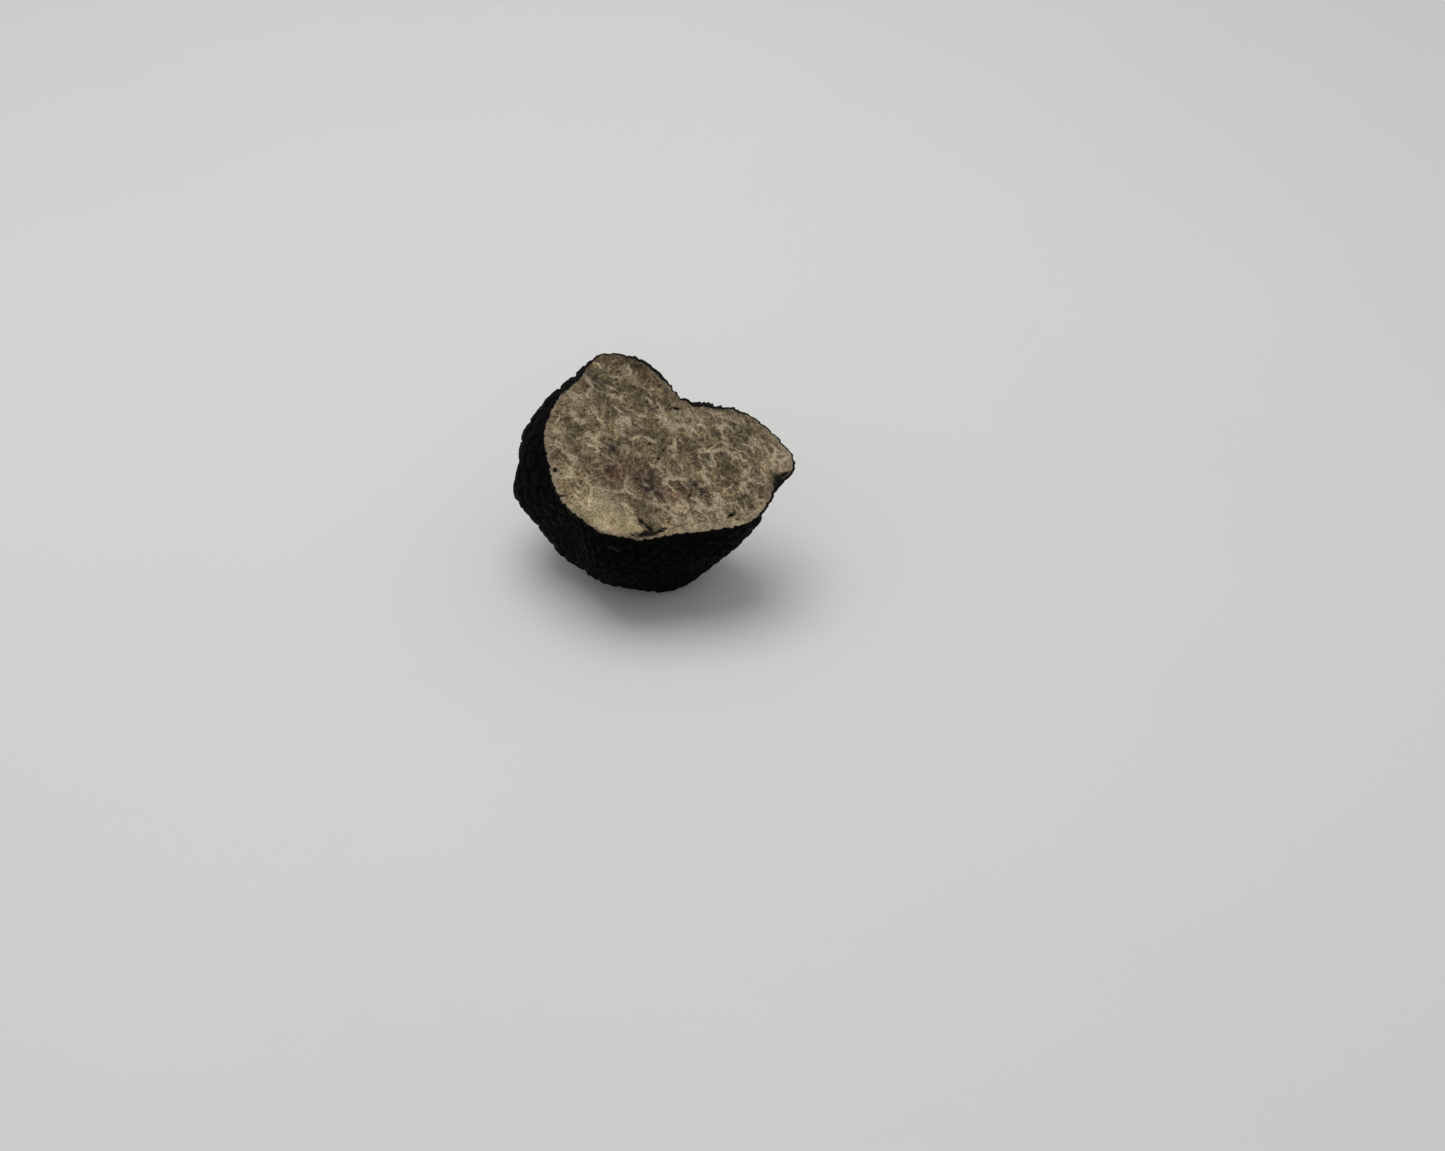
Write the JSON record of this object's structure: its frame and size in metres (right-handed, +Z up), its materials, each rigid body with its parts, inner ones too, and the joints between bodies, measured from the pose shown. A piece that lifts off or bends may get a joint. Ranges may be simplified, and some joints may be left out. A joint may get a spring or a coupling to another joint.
{
  "type": "black truffle",
  "caption": "Half of a black truffle, cut straight across: warty black rind all round, heart-shaped cut face with pale veins, lying on its rounded side.",
  "frame": {"origin": "on the surface that the truffle rests on, under the middle of its bounding box", "axes": "+Z up, away from the surface it rests on; +X along its longest extent, towards the pointed end of the cut face; the cut face tilts towards -Y"},
  "size_m": [0.0412, 0.0304, 0.0287],
  "materials": {
    "truffle": "dull black warty rind, and matt olive brown flesh with pale veins on the cut face"
  },
  "bodies": {
    "root": {"truffle": "truffle"}
  },
  "joints": []
}
